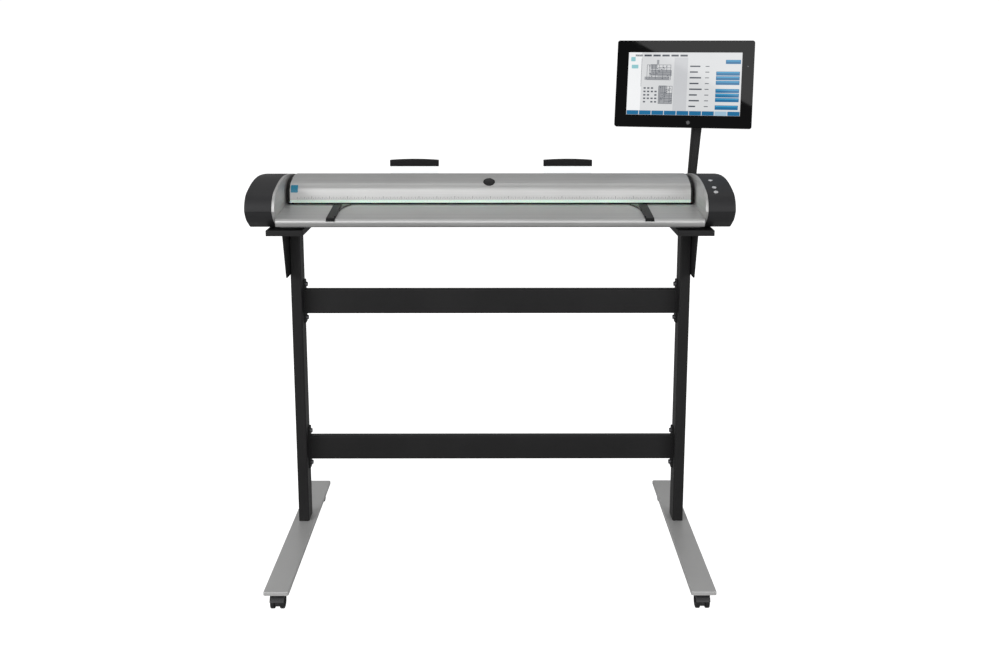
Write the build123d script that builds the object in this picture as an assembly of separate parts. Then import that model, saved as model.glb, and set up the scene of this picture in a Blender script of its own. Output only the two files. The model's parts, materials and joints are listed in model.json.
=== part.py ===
"""Large-format sheet-fed scanner on a wheeled stand, with a touch screen on a post.

Millimetres, +X to the right, +Y to the rear, +Z up.  The origin lies on the floor, on the
stand's mid-plane and level with the front faces of the two uprights.  Every sub-part is
written to parts/NODE.step.
"""
import os
from math import cos, radians, sin

from build123d import *

# ---------------------------------------------------------------- driving dimensions
SCANNER_WIDTH = 1310.0      # over both end caps
FRAME_HALF = 574.0          # mid-plane to the inner wall of a side frame
SIDE_FRAME = 7.0            # thickness of a side frame
PAPER_Z = 997.0             # height of the document path above the floor
STAND_TOP = 946.0           # the scanner rests on the brackets here
STAND_HALF = 549.0          # mid-plane to the middle of an upright
FOOT_LENGTH = 700.0
FOOT_WIDTH = 65.0
FOOT_FRONT = -407.0
FOOT_TOP = 58.0
UPRIGHT_WIDTH = 30.0
UPRIGHT_DEPTH = 60.0
SCREEN_WIDTH = 416.0
SCREEN_HEIGHT = 268.0
ACTIVE_WIDTH = 344.2        # a 15.6 inch panel
ACTIVE_HEIGHT = 193.6
SCREEN_YAW = -14.4          # degrees about +Z: the screen looks towards the middle
SCREEN_TILT = -12.0         # degrees about the screen's own X: its top leans back

SHEET = 2.0                 # folded sheet of the scanner
PLATE = 3.0                 # folded sheet of the stand
WALL = 3.0                  # moulded plastic wall
RUNNING = 0.05              # radial clearance of a turning fit
SLIDING = 0.15              # gap under a sliding piece

CAP_OUT = SCANNER_WIDTH / 2
CAP_IN = FRAME_HALF + SIDE_FRAME
CHASSIS_TOP = STAND_TOP + SHEET

# ---------------------------------------------------------------- helpers


def block(x, y, z):
    """Box between two corners, each axis given as (low, high)."""
    size = (x[1] - x[0], y[1] - y[0], z[1] - z[0])
    centre = ((x[0] + x[1]) / 2, (y[0] + y[1]) / 2, (z[0] + z[1]) / 2)
    return Pos(*centre) * Box(*size)


def rod_x(radius, x, y, z):
    """Cylinder along X from x[0] to x[1]."""
    return Pos((x[0] + x[1]) / 2, y, z) * Rot(0, 90, 0) * Cylinder(radius, x[1] - x[0])


def rod_y(radius, x, y, z):
    """Cylinder along Y from y[0] to y[1]."""
    return Pos(x, (y[0] + y[1]) / 2, z) * Rot(90, 0, 0) * Cylinder(radius, y[1] - y[0])


def rod_z(radius, x, y, z):
    """Cylinder along Z from z[0] to z[1]."""
    return Pos(x, y, (z[0] + z[1]) / 2) * Cylinder(radius, z[1] - z[0])


def slab(outline, x):
    """An outline drawn in (Y, Z), extruded from x[0] to x[1]."""
    return extrude(Plane.YZ.offset(x[0]) * outline, x[1] - x[0])


def rect(y, z):
    """Rectangle in (Y, Z) between two corners."""
    centre = ((y[0] + y[1]) / 2, (z[0] + z[1]) / 2)
    return Pos(*centre) * Rectangle(y[1] - y[0], z[1] - z[0])


def mirrored(part):
    """The same part on the other side of the mid-plane."""
    return mirror(part, about=Plane.YZ)


def vertical_edges(part):
    return part.edges().filter_by(Axis.Z)


def socket_screw(head_radius, head_height, shank_radius, shank_length):
    """Socket-head screw along +Z: its head below z=0 and its shank above."""
    head = Pos(0, 0, -head_height / 2) * Cylinder(head_radius, head_height)
    head = chamfer(head.edges().group_by(Axis.Z)[0], 0.6)
    hexagon = extrude(RegularPolygon(head_radius * 0.5, 6), head_height * 0.55)
    head -= Pos(0, 0, -head_height) * hexagon
    return head + Pos(0, 0, shank_length / 2) * Cylinder(shank_radius, shank_length)


# ---------------------------------------------------------------- stand

FOOT_FLANGE = 10.0
FOOT_BOTTOM = FOOT_TOP - FOOT_FLANGE
UPRIGHT_X = (STAND_HALF - UPRIGHT_WIDTH / 2, STAND_HALF + UPRIGHT_WIDTH / 2)
BRACKET_X = (505.0, 605.0)
BRACKET_Y = (-112.0, 290.0)
BRACKET_FLANGE = 16.0
BRACKET_UNDER = STAND_TOP - PLATE
GUSSET_LOW = 799.0
GUSSET_FRONT = (-84.0, -44.0)   # front edge of the web, at its top and its foot
BEAM_Y = (34.0, 59.0)
BEAM_HEIGHT = 71.0
BEAM_LEVELS = {"upper_beam": 713.0, "lower_beam": 272.0}
END_PLATE = 4.0
END_PLATE_HEIGHT = 126.0
BOLT_OFFSET = 49.0          # beam centre to a bolt, up and down
BOLT_Y = (BEAM_Y[0] + BEAM_Y[1]) / 2
M8 = 4.0                    # shank radii
M6 = 3.0
WASHER = 1.6
FOOT_BOLT_Y = (16.0, 44.0)
GUSSET_BOLT_Z = (905.0, 825.0)
SCANNER_SCREW_Y = (-45.0, 240.0)
SCANNER_SCREW_X = 520.0
ARM_SCREWS = ((560.0, 222.0), (585.0, 222.0))

# swivel axis of each caster, and the side of that axis on which its wheels trail
CASTER_TRAIL = 12.0
CASTERS = {
    "front_left": (-STAND_HALF, FOOT_FRONT + 40, -1),
    "front_right": (STAND_HALF, FOOT_FRONT + 40, -1),
    "rear_left": (-STAND_HALF, FOOT_FRONT + FOOT_LENGTH - 40, 1),
    "rear_right": (STAND_HALF, FOOT_FRONT + FOOT_LENGTH - 40, 1),
}
WHEEL_RADIUS = 20.0
WHEEL_WIDTH = 11.0
CASTER_WIDTH = 36.0
STEM_RADIUS = 4.0
AXLE_RADIUS = 2.5


def channel(x, y, z, thickness, corner):
    """Inverted tray: a flat top with its four edges turned down."""
    outer = block(x, y, z)
    outer = fillet(vertical_edges(outer), corner)
    outer = fillet(outer.faces().sort_by(Axis.Z)[-1].edges(), thickness * 0.8)
    inner = block(
        (x[0] + thickness, x[1] - thickness),
        (y[0] + thickness, y[1] - thickness),
        (z[0] - 1, z[1] - thickness),
    )
    return outer - inner


def right_foot():
    x = (STAND_HALF - FOOT_WIDTH / 2, STAND_HALF + FOOT_WIDTH / 2)
    foot = channel(x, (FOOT_FRONT, FOOT_FRONT + FOOT_LENGTH), (FOOT_BOTTOM, FOOT_TOP), PLATE, 5)
    for place in ("front_right", "rear_right"):
        y = CASTERS[place][1]
        foot += rod_z(9, STAND_HALF, y, (FOOT_BOTTOM, FOOT_TOP - PLATE))
        foot -= rod_z(STEM_RADIUS + RUNNING, STAND_HALF, y, (FOOT_BOTTOM, FOOT_TOP - 1.5))
    for y in FOOT_BOLT_Y:
        foot -= rod_z(M8 + 0.5, STAND_HALF, y, (FOOT_BOTTOM, FOOT_TOP))
    return foot


def right_upright():
    outer = block(UPRIGHT_X, (0, UPRIGHT_DEPTH), (FOOT_TOP, BRACKET_UNDER))
    outer = fillet(vertical_edges(outer), 4)
    inner = block(
        (UPRIGHT_X[0] + 2, UPRIGHT_X[1] - 2), (2, UPRIGHT_DEPTH - 2), (FOOT_TOP + 5, BRACKET_UNDER)
    )
    post = outer - inner
    for y in FOOT_BOLT_Y:
        post -= rod_z(M8, STAND_HALF, y, (FOOT_TOP, FOOT_TOP + 5))
    for level in BEAM_LEVELS.values():
        for side in (-1, 1):
            post -= rod_x(M8, (UPRIGHT_X[0] - 1, UPRIGHT_X[0] + 3), BOLT_Y, level + side * BOLT_OFFSET)
    for z in GUSSET_BOLT_Z:
        post -= rod_x(M8, (UPRIGHT_X[1] - 3, UPRIGHT_X[1] + 1), UPRIGHT_DEPTH / 2, z)
    return post


def beam(level):
    """Rectangular tube between the two end plates."""
    half = UPRIGHT_X[0] - END_PLATE
    z = (level - BEAM_HEIGHT / 2, level + BEAM_HEIGHT / 2)
    outer = block((-half, half), BEAM_Y, z)
    outer = fillet(outer.edges().filter_by(Axis.X), 4)
    inner = block((-half, half), (BEAM_Y[0] + 2, BEAM_Y[1] - 2), (z[0] + 2, z[1] - 2))
    return outer - inner


def beam_end_plates():
    plates = []
    for level in BEAM_LEVELS.values():
        z = (level - END_PLATE_HEIGHT / 2, level + END_PLATE_HEIGHT / 2)
        plate = block((UPRIGHT_X[0] - END_PLATE, UPRIGHT_X[0]), (BEAM_Y[0] - 4, BEAM_Y[1]), z)
        plate = fillet(plate.edges().filter_by(Axis.X), 5)
        for side in (-1, 1):
            plate -= rod_x(
                M8 + 0.4, (UPRIGHT_X[0] - 5, UPRIGHT_X[0] + 1), BOLT_Y, level + side * BOLT_OFFSET
            )
        plates += [plate, mirrored(plate)]
    return plates


def right_top_bracket():
    """Channel under the scanner with a tapered web down the upright's outer side."""
    tray = channel(BRACKET_X, BRACKET_Y, (STAND_TOP - BRACKET_FLANGE, STAND_TOP), PLATE, 4)
    tray -= block(  # the rear end is open for the screen arm
        (BRACKET_X[0] + PLATE, BRACKET_X[1] - PLATE),
        (BRACKET_Y[1] - PLATE - 1, BRACKET_Y[1] + 1),
        (STAND_TOP - BRACKET_FLANGE - 1, BRACKET_UNDER),
    )
    outline = make_face(
        FilletPolyline(
            (GUSSET_FRONT[0], BRACKET_UNDER), (GUSSET_FRONT[1], GUSSET_LOW),
            (UPRIGHT_DEPTH, GUSSET_LOW), (UPRIGHT_DEPTH, BRACKET_UNDER), radius=6,
        )
        + Line((UPRIGHT_DEPTH, BRACKET_UNDER), (GUSSET_FRONT[0], BRACKET_UNDER))
    )
    bracket = tray + slab(outline, (UPRIGHT_X[1], UPRIGHT_X[1] + PLATE))
    for z in GUSSET_BOLT_Z:
        bracket -= rod_x(M8 + 0.4, (UPRIGHT_X[1], UPRIGHT_X[1] + PLATE), UPRIGHT_DEPTH / 2, z)
    for y in SCANNER_SCREW_Y:
        bracket -= rod_z(M6 + 0.3, SCANNER_SCREW_X, y, (BRACKET_UNDER, STAND_TOP))
    for x, y in ARM_SCREWS:
        bracket -= rod_z(M6 + 0.3, x, y, (BRACKET_UNDER, STAND_TOP))
    return bracket


def stand_bolts():
    """Every screw of the stand, one solid each."""
    big = socket_screw(6.5, 4, M8, END_PLATE + 4)
    washer = Pos(0, 0, -WASHER / 2) * (Cylinder(8.0, WASHER) - Cylinder(M8, WASHER))
    bolts = []
    for level in BEAM_LEVELS.values():
        for side in (-1, 1):
            z = level + side * BOLT_OFFSET
            seat = Pos(UPRIGHT_X[0] - END_PLATE, BOLT_Y, z) * Rot(0, 90, 0)
            screw = seat * (Pos(0, 0, -WASHER) * big)
            bolts += [screw, seat * washer]
    for z in GUSSET_BOLT_Z:
        seat = Pos(UPRIGHT_X[1] + PLATE, UPRIGHT_DEPTH / 2, z) * Rot(0, -90, 0)
        bolts.append(seat * socket_screw(6.5, 5, M8, PLATE + 3))
    for y in FOOT_BOLT_Y:
        bolts.append(Pos(STAND_HALF, y, FOOT_TOP - PLATE) * socket_screw(6.5, 5, M8, PLATE + 5))
    for y in SCANNER_SCREW_Y:
        seat = Pos(SCANNER_SCREW_X, y, BRACKET_UNDER)
        bolts.append(seat * socket_screw(5, 5, M6, PLATE + SHEET))
    arm_screw = socket_screw(5, 5, M6, ARM_Z[1] - ARM_Z[0] + PLATE)
    arm = [Pos(x, y, ARM_Z[0]) * arm_screw for x, y in ARM_SCREWS]
    return bolts + [mirrored(bolt) for bolt in bolts] + arm


def caster_hood(trail):
    """Hood and stem of a twin-wheel caster; the swivel axis is the local Z axis."""
    wheel_y = trail * CASTER_TRAIL
    core_half = CASTER_WIDTH / 2 - WHEEL_WIDTH - 0.5
    core = Circle(15) + Pos(0, 11) * Rectangle(22, 20)
    core = slab(Pos(wheel_y, WHEEL_RADIUS) * core, (-core_half, core_half))
    neck = block((-core_half, core_half), (min(0, wheel_y) - 8, max(0, wheel_y) + 8), (30, 43))
    neck += rod_z(8, 0, 0, (38, FOOT_BOTTOM - 0.5))
    ring = Circle(WHEEL_RADIUS + 3.6) - Circle(WHEEL_RADIUS + 1.4)
    ring &= Pos(0, 20) * Rectangle(60, 28)
    cover = slab(Pos(wheel_y, WHEEL_RADIUS) * ring, (-CASTER_WIDTH / 2, CASTER_WIDTH / 2))
    hood = core + neck
    wheel_space = rod_x(WHEEL_RADIUS + 2.5, (core_half, CASTER_WIDTH), wheel_y, WHEEL_RADIUS)
    hood -= wheel_space
    hood -= mirrored(wheel_space)
    hood += cover
    hood += rod_z(STEM_RADIUS, 0, 0, (FOOT_BOTTOM - 1, FOOT_TOP - 4))
    return hood - rod_x(AXLE_RADIUS + RUNNING, (-30, 30), wheel_y, WHEEL_RADIUS)


def caster_wheels(trail):
    """Two wheels pressed on one axle."""
    wheel_y = trail * CASTER_TRAIL
    outer = CASTER_WIDTH / 2
    wheel = rod_x(WHEEL_RADIUS, (outer - WHEEL_WIDTH, outer), wheel_y, WHEEL_RADIUS)
    wheel = fillet(wheel.edges(), 2.5)
    wheel -= rod_x(13, (outer - 2, outer), wheel_y, WHEEL_RADIUS)
    wheel += rod_x(5, (outer - 3, outer - 0.5), wheel_y, WHEEL_RADIUS)
    wheel -= rod_x(AXLE_RADIUS, (0, outer), wheel_y, WHEEL_RADIUS)
    axle = rod_x(AXLE_RADIUS, (-outer + 1, outer - 1), wheel_y, WHEEL_RADIUS)
    return [wheel, mirrored(wheel), axle]


# ---------------------------------------------------------------- scanner outlines

FRONT_Y = -135.0
REAR_Y = 280.0
BODY_LOW = 950.0
CREASE = (FRONT_Y, 1000.0)
FEED_ROLLER_Y = {"front": 34.0, "rear": 116.0}
FEED_ROLLER_RADIUS = 10.0
FEED_ROLLER_Z = PAPER_Z - FEED_ROLLER_RADIUS
CORE_RADIUS = 7.0
JOURNAL_RADIUS = 4.0
PINCH_RADIUS = 6.0
PINCH_SHAFT = 2.5
PINCH_Z = PAPER_Z + 0.3 + PINCH_RADIUS
HINGE_Y, HINGE_Z = 232.0, 1033.0
HINGE_PIN = 3.0
MOTOR_Y, MOTOR_Z = 180.0, 971.0
MOTOR_SIZE = 42.0
PULLEY_X = (597.0, 605.0)
PULLEY_RADIUS = 12.0
MOTOR_PULLEY_RADIUS = 6.0
GLASS_Y = (47.0, 103.0)
GLASS_Z = (PAPER_Z - 4.2, PAPER_Z - 0.2)
LID_UNDER = PAPER_Z + 5.0
SKIN_HALF = 561.0
LID_HALF = 568.0
LID_REAR = 250.0
LIGHT_STRIP = 7.5           # height of the lid's light strip
SIDE_WEB = 5.0              # wall of a side frame inside its rim


def arc_chain(start, heading, *ends):
    """Tangent arcs from a start, which they leave at a heading in degrees, through each end."""
    tangent = (cos(radians(heading)), sin(radians(heading)))
    arcs = []
    for end in ends:
        arcs.append(TangentArc(start, end, tangent=tangent))
        start, tangent = end, arcs[-1] % 1
    return arcs


def crown():
    """Arcs over the top of a side frame, from the crease at the front to the back."""
    return arc_chain(CREASE, 88, (-100, 1048.5), (60, 1074.5), (240, 1052), (REAR_Y, 1000))


def side_outline():
    """Outline of the side frames and end caps in (Y, Z)."""
    under = Line((-79, BODY_LOW), (-106, 966))
    chin = TangentArc((-106, 966), CREASE, tangent=under % 1)
    back = FilletPolyline((REAR_Y, 1000), (REAR_Y, BODY_LOW), (-79, BODY_LOW), radius=12)
    return make_face([under, chin, *crown(), *back.edges()])


def lid_outline():
    """Outline of the lid in (Y, Z), closed by straight lines behind and under it."""
    tops = ((20, 1034), (38, 1055), (72, 1065.5), (105, 1070), (222, 1050.5), (LID_REAR, 1020))
    skin = arc_chain((18, LID_UNDER), 95, *tops)
    under = Polyline((LID_REAR, 1020), (LID_REAR, LID_UNDER), (18, LID_UNDER))
    return make_face([*skin, *under.edges()])


def fold(corners, radius, low, high):
    """Face between two lines beside a line of rounded left turns, low and high to its right."""

    def beside(lift):
        points = [Vector(*corner) for corner in corners]
        normals = [Vector(b.Y - a.Y, a.X - b.X).normalized() for a, b in zip(points, points[1:])]
        meetings = zip(points, normals[:1] + normals, normals + normals[-1:])
        moved = [point + (m + n) * (lift / (1 + m.dot(n))) for point, m, n in meetings]
        return FilletPolyline(*moved, radius=radius + lift)

    near, far = beside(low), beside(high)
    return make_face(near + Line(near @ 1, far @ 1) + far + Line(far @ 0, near @ 0))


def over_table(low, high):
    """Outline between two heights above the infeed table, from the slot over the lip."""
    slot, bend = (22.5, PAPER_Z - 0.4), (FRONT_Y - 1, PAPER_Z - 18.5)
    corners = (slot, bend, (FRONT_Y + 7, 958), (-68, BODY_LOW - 1))
    return fold(corners, 9, low, high)


def crown_frame(y):
    """Plane lying on the crown at a given Y: its x axis is +X and its z axis points outwards."""
    arc = next(arc for arc in crown() if (arc @ 0).X <= y <= (arc @ 1).X)
    low, high = 0.0, 1.0
    while high - low > 1e-6:
        middle = (low + high) / 2
        if (arc @ middle).X < y:
            low = middle
        else:
            high = middle
    point, along = arc @ low, arc % low
    return Plane(origin=(0, point.X, point.Y), x_dir=(1, 0, 0), z_dir=(0, -along.Y, along.X))


# ---------------------------------------------------------------- scanner body

PORTS = {"network": (-400.0, 16.0, 13.5), "usb": (-365.0, 12.0, 11.0)}
PORT_LOW = 960.0
INLET_X, INLET_Z = 455.0, 970.0
INLET_SIZE = (62.0, 26.0)
VENT_X = [60 + 9 * i for i in range(24)]
RETURN_GUIDES_X = (162.0, 312.0)
RETURN_HINGE = (289.0, 985.0)
RETURN_PIN = 2.0
RETURN_LUG = 5.0


def base_chassis():
    """Folded tray with the two walls and the shelf that hold the scanning line."""
    parts = block((-FRAME_HALF, FRAME_HALF), (-64, REAR_Y - SHEET), (STAND_TOP, CHASSIS_TOP))
    for side in (-1, 1):
        x = sorted((side * (FRAME_HALF - SHEET), side * FRAME_HALF))
        parts += block(x, (-60, 270), (CHASSIS_TOP, 984))
    for y in (GLASS_Y[0], GLASS_Y[1] - SHEET):
        parts += block((-562, 562), (y, y + SHEET), (CHASSIS_TOP, GLASS_Z[0]))
    parts += block((-562, 562), GLASS_Y, (962, 964))
    for y in FEED_ROLLER_Y.values():
        parts -= rod_x(9, (-600, 600), y, FEED_ROLLER_Z)
    parts -= rod_x(11, (560, 600), MOTOR_Y, MOTOR_Z)
    for side in (-1, 1):
        for y in SCANNER_SCREW_Y:
            parts -= rod_z(M6, side * SCANNER_SCREW_X, y, (STAND_TOP, CHASSIS_TOP))
    return parts


def infeed_table():
    return slab(over_table(-SHEET, 0), (-FRAME_HALF + 0.5, FRAME_HALF - 0.5))


def rear_cover():
    """Exit table and rear panel in one folded sheet, with cut-outs, vents and guide lugs."""
    corners = ((REAR_Y, BODY_LOW), (REAR_Y, PAPER_Z - 4), (128, PAPER_Z - 0.5))
    cover = slab(fold(corners, 7, -SHEET, 0), (-FRAME_HALF + 0.5, FRAME_HALF - 0.5))
    panel = (REAR_Y - 5, REAR_Y + 5)
    for x, width, height in PORTS.values():
        half = width / 2 + 0.5
        cover -= block((x - half, x + half), panel, (PORT_LOW - 0.5, PORT_LOW + height + 0.5))
    cover -= block((INLET_X - 28.5, INLET_X + 28.5), panel, (INLET_Z - 10.5, INLET_Z + 10.5))
    vents = [block((x - 2, x + 2), panel, (958, 978)) for x in VENT_X]
    cover -= vents
    y, z = RETURN_HINGE
    for side in (-1, 1):
        for edge, outward in ((RETURN_GUIDES_X[0], -1), (RETURN_GUIDES_X[1], 1)):
            x = sorted((edge + outward * 0.3, edge + outward * RETURN_LUG))
            lug = slab(rect((REAR_Y, y), (z - 5, z + 5)) + Pos(y, z) * Circle(5), x)
            lug -= rod_x(RETURN_PIN + RUNNING, (edge - 9, edge + 9), y, z)
            cover += lug if side > 0 else mirrored(lug)
    return cover


def right_side_frame():
    outline = side_outline()
    web = slab(outline, (FRAME_HALF, FRAME_HALF + SIDE_WEB))
    rim = slab(outline - offset(outline, amount=-4), (FRAME_HALF + SIDE_WEB, CAP_IN))
    frame = web + rim
    for y in FEED_ROLLER_Y.values():
        frame -= rod_x(JOURNAL_RADIUS + RUNNING, (FRAME_HALF - 1, CAP_IN), y, FEED_ROLLER_Z)
    frame -= rod_x(HINGE_PIN, (FRAME_HALF - 1, CAP_IN), HINGE_Y, HINGE_Z)
    return frame - rod_x(5, (FRAME_HALF - 1, CAP_IN), MOTOR_Y, MOTOR_Z)


def end_cap():
    """Moulded shell open towards the side frame, with a seam line at the crease."""
    outline = side_outline()
    shell = slab(outline, (CAP_IN, CAP_OUT))
    shell = fillet(shell.faces().sort_by(Axis.X)[-1].edges(), 5)
    shell -= slab(offset(outline, amount=-WALL), (CAP_IN, CAP_OUT - WALL))
    seam = slab(outline - offset(outline, amount=-0.8), (CAP_IN, CAP_OUT))
    seam += slab(outline, (CAP_OUT - 0.8, CAP_OUT))
    return shell - (seam & block((CAP_IN, CAP_OUT), (-200, 300), (999.2, 1000.6)))


BUTTON_X = 606.0
BUTTONS = {"start_button": -101.0, "copy_button": -75.0, "stop_button": -22.0}
BUTTON_RADIUS = 6.0


def right_end_cap():
    cap = end_cap()
    for y in BUTTONS.values():
        hole = Cylinder(BUTTON_RADIUS + 0.25, 20)
        cap -= crown_frame(y) * (Pos(BUTTON_X, 0, 0) * hole)
    return cap


def panel_button(y):
    """Round key through the cap's top wall, kept in by a flange under the wall."""
    key = rod_z(BUTTON_RADIUS, 0, 0, (-WALL - 2, 1.5))
    key = fillet(key.edges().group_by(Axis.Z)[-1], 1.0)
    key += rod_z(BUTTON_RADIUS + 1.5, 0, 0, (-WALL - 2.2, -WALL - 1))
    return crown_frame(y) * (Pos(BUTTON_X, 0, 0) * key)


# ---------------------------------------------------------------- scanning line and drive

PINCH_ROLLERS_X = [-436.0, -218.0, 0.0, 218.0, 436.0]
PINCH_LENGTH = 120.0
CIS_PITCH = 224.0
CIS_LENGTH = 236.0


def scan_glass():
    return block((-562, 562), GLASS_Y, GLASS_Z)


def cis_modules():
    """Five contact image sensors, staggered in two rows so that their ends overlap."""
    modules = []
    for i in range(5):
        x = (i - 2) * CIS_PITCH
        y = (51.0, 73.0) if i % 2 == 0 else (77.0, 99.0)
        body = block((x - CIS_LENGTH / 2, x + CIS_LENGTH / 2), y, (964, GLASS_Z[0] - 1))
        middle = (y[0] + y[1]) / 2
        window = (x - CIS_LENGTH / 2 + 6, x + CIS_LENGTH / 2 - 6)
        body -= block(window, (middle - 3, middle + 3), (988, 993))
        modules.append(chamfer(body.edges().filter_by(Axis.X).group_by(Axis.Z)[0], 1.5))
    return modules


def feed_roller(y):
    """Steel core with journals and a pulley, and ten rubber sleeves on it."""
    shaft = rod_x(CORE_RADIUS, (-558, 558), y, FEED_ROLLER_Z)
    shaft += rod_x(JOURNAL_RADIUS, (-CAP_IN + 1, PULLEY_X[1] + 2), y, FEED_ROLLER_Z)
    pulley = rod_x(PULLEY_RADIUS, PULLEY_X, y, FEED_ROLLER_Z)
    pulley += rod_x(PULLEY_RADIUS + 2.5, (PULLEY_X[0] - 1, PULLEY_X[0]), y, FEED_ROLLER_Z)
    pulley += rod_x(PULLEY_RADIUS + 2.5, (PULLEY_X[1], PULLEY_X[1] + 1), y, FEED_ROLLER_Z)
    solids = [shaft + pulley]
    for i in range(10):
        x = (i - 4.5) * 110
        sleeve = rod_x(FEED_ROLLER_RADIUS, (x - 44, x + 44), y, FEED_ROLLER_Z)
        solids.append(sleeve - rod_x(CORE_RADIUS, (x - 44, x + 44), y, FEED_ROLLER_Z))
    return solids


def pinch_roller(y):
    """One long shaft with five rollers that press the sheet on the feed roller."""
    roller = rod_x(PINCH_SHAFT, (-LID_HALF + 1, LID_HALF - 1), y, PINCH_Z)
    for x in PINCH_ROLLERS_X:
        roller += rod_x(PINCH_RADIUS, (x - PINCH_LENGTH / 2, x + PINCH_LENGTH / 2), y, PINCH_Z)
    return roller


def feed_motor():
    half = MOTOR_SIZE / 2
    y, z = (MOTOR_Y - half, MOTOR_Y + half), (MOTOR_Z - half, MOTOR_Z + half)
    body = block((530, FRAME_HALF - SHEET), y, z)
    body = chamfer(body.edges().filter_by(Axis.X), 4)
    body += rod_x(10.9, (FRAME_HALF - SHEET, FRAME_HALF), MOTOR_Y, MOTOR_Z)
    return body - rod_x(2.5 + RUNNING, (550, FRAME_HALF + 1), MOTOR_Y, MOTOR_Z)


def motor_pulley():
    """Pulley with its motor shaft."""
    shaft = rod_x(2.5, (551, PULLEY_X[1] + 2), MOTOR_Y, MOTOR_Z)
    pulley = rod_x(MOTOR_PULLEY_RADIUS, PULLEY_X, MOTOR_Y, MOTOR_Z)
    for x in ((PULLEY_X[0] - 1, PULLEY_X[0]), (PULLEY_X[1], PULLEY_X[1] + 1)):
        pulley += rod_x(MOTOR_PULLEY_RADIUS + 2.5, x, MOTOR_Y, MOTOR_Z)
    return shaft + pulley


def drive_belt():
    """Toothed belt round both feed-roller pulleys and the motor pulley."""
    wheels = [(y, FEED_ROLLER_Z, PULLEY_RADIUS) for y in FEED_ROLLER_Y.values()]
    wheels.append((MOTOR_Y, MOTOR_Z, MOTOR_PULLEY_RADIUS))

    def loop(grow):
        edges = ShapeList()
        for y, z, radius in wheels:
            edges += (Pos(y, z) * Circle(radius + grow)).edges()
        return make_hull(edges)

    return slab(loop(RUNNING + 1.4) - loop(RUNNING), (PULLEY_X[0] + 0.5, PULLEY_X[1] - 0.5))


def main_board():
    """Circuit board on four pillars, with its chips."""
    x, y, z = (-440.0, -240.0), (140.0, 262.0), 956.0
    solids = [block(x, y, (z, z + 1.6))]
    for px in (x[0] + 8, x[1] - 8):
        for py in (y[0] + 8, y[1] - 8):
            solids.append(rod_z(3, px, py, (CHASSIS_TOP, z)))
    chips = [
        (-400, 180, 30, 30, 5),
        (-350, 175, 22, 22, 3),
        (-300, 190, 40, 18, 12),
        (-270, 230, 24, 14, 9),
    ]
    for cx, cy, width, depth, height in chips:
        spot = ((cx - width / 2, cx + width / 2), (cy - depth / 2, cy + depth / 2))
        solids.append(block(*spot, (z + 1.6, z + 1.6 + height)))
    return solids


def power_supply():
    """Caged supply with a row of slots in its lid."""
    case = block((60, 250), (150, 245), (CHASSIS_TOP, 982))
    case = fillet(vertical_edges(case), 2)
    for i in range(9):
        x = 85 + 17.5 * i
        case -= block((x - 3, x + 3), (165, 230), (980, 983))
    return case


def data_ports():
    """Network and USB sockets that reach through the rear panel from the board."""
    sockets = []
    for x, width, height in PORTS.values():
        shell = block((x - width / 2, x + width / 2), (264, REAR_Y + 1.5), (PORT_LOW, PORT_LOW + height))
        sockets.append(shell - block(
            (x - width / 2 + 1.8, x + width / 2 - 1.8), (272, REAR_Y + 2),
            (PORT_LOW + 1.8, PORT_LOW + height - 1.8),
        ))
    return sockets


ROCKER_X = INLET_X + 18
INLET_RECESS_X = INLET_X - 9
ROCKER_PIVOT_Y = 271.0
ROCKER_TILT = 7.0


def power_inlet():
    """Three-pin appliance inlet beside the bay of the power switch."""
    width, height = INLET_SIZE
    body = block((INLET_X - 28, INLET_X + 28), (256, REAR_Y), (INLET_Z - 10, INLET_Z + 10))
    flange = block(
        (INLET_X - width / 2, INLET_X + width / 2), (REAR_Y, REAR_Y + 2),
        (INLET_Z - height / 2, INLET_Z + height / 2),
    )
    inlet = body + fillet(flange.edges().filter_by(Axis.Y), 3)
    recess = block(
        (INLET_RECESS_X - 12, INLET_RECESS_X + 12), (263, REAR_Y + 3), (INLET_Z - 8, INLET_Z + 8)
    )
    inlet -= chamfer(recess.edges().filter_by(Axis.Y).group_by(Axis.Z)[-1], 4)
    for x, z in ((-7, -2), (0, 2), (7, -2)):
        inlet += block(
            (INLET_RECESS_X + x - 1, INLET_RECESS_X + x + 1), (262, 274), (INLET_Z + z - 2, INLET_Z + z + 2)
        )
    inlet -= block((ROCKER_X - 6.3, ROCKER_X + 6.3), (260, REAR_Y + 3), (INLET_Z - 9, INLET_Z + 9))
    for side in (-1, 1):
        inlet -= rod_x(1.5 + RUNNING, sorted((ROCKER_X, ROCKER_X + side * 8)), ROCKER_PIVOT_Y, INLET_Z)
    return inlet


def power_rocker():
    """Rocker of the power switch, resting in its off position."""
    outline = make_face(
        Polyline((-5, -3), (9.5, -7.8), (8.6, 0), (9.5, 7.8), (-5, 3), (-5, -3))
    )
    rocker = slab(outline, (-6, 6)) + rod_x(1.5, (-7.5, 7.5), 0, 0)
    return Pos(ROCKER_X, ROCKER_PIVOT_Y, INLET_Z) * Rot(ROCKER_TILT, 0, 0) * rocker


# ---------------------------------------------------------------- lid


def lid_shell():
    outline = lid_outline()
    skin = slab(outline - offset(outline, amount=-SHEET), (-SKIN_HALF, SKIN_HALF))
    skin -= block((-SKIN_HALF, SKIN_HALF), (0, LID_REAR - 1.4), (LID_UNDER - 1, LID_UNDER + 4))
    return skin - block((-SKIN_HALF, SKIN_HALF), (0, 30), (LID_UNDER, LID_UNDER + LIGHT_STRIP))


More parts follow.
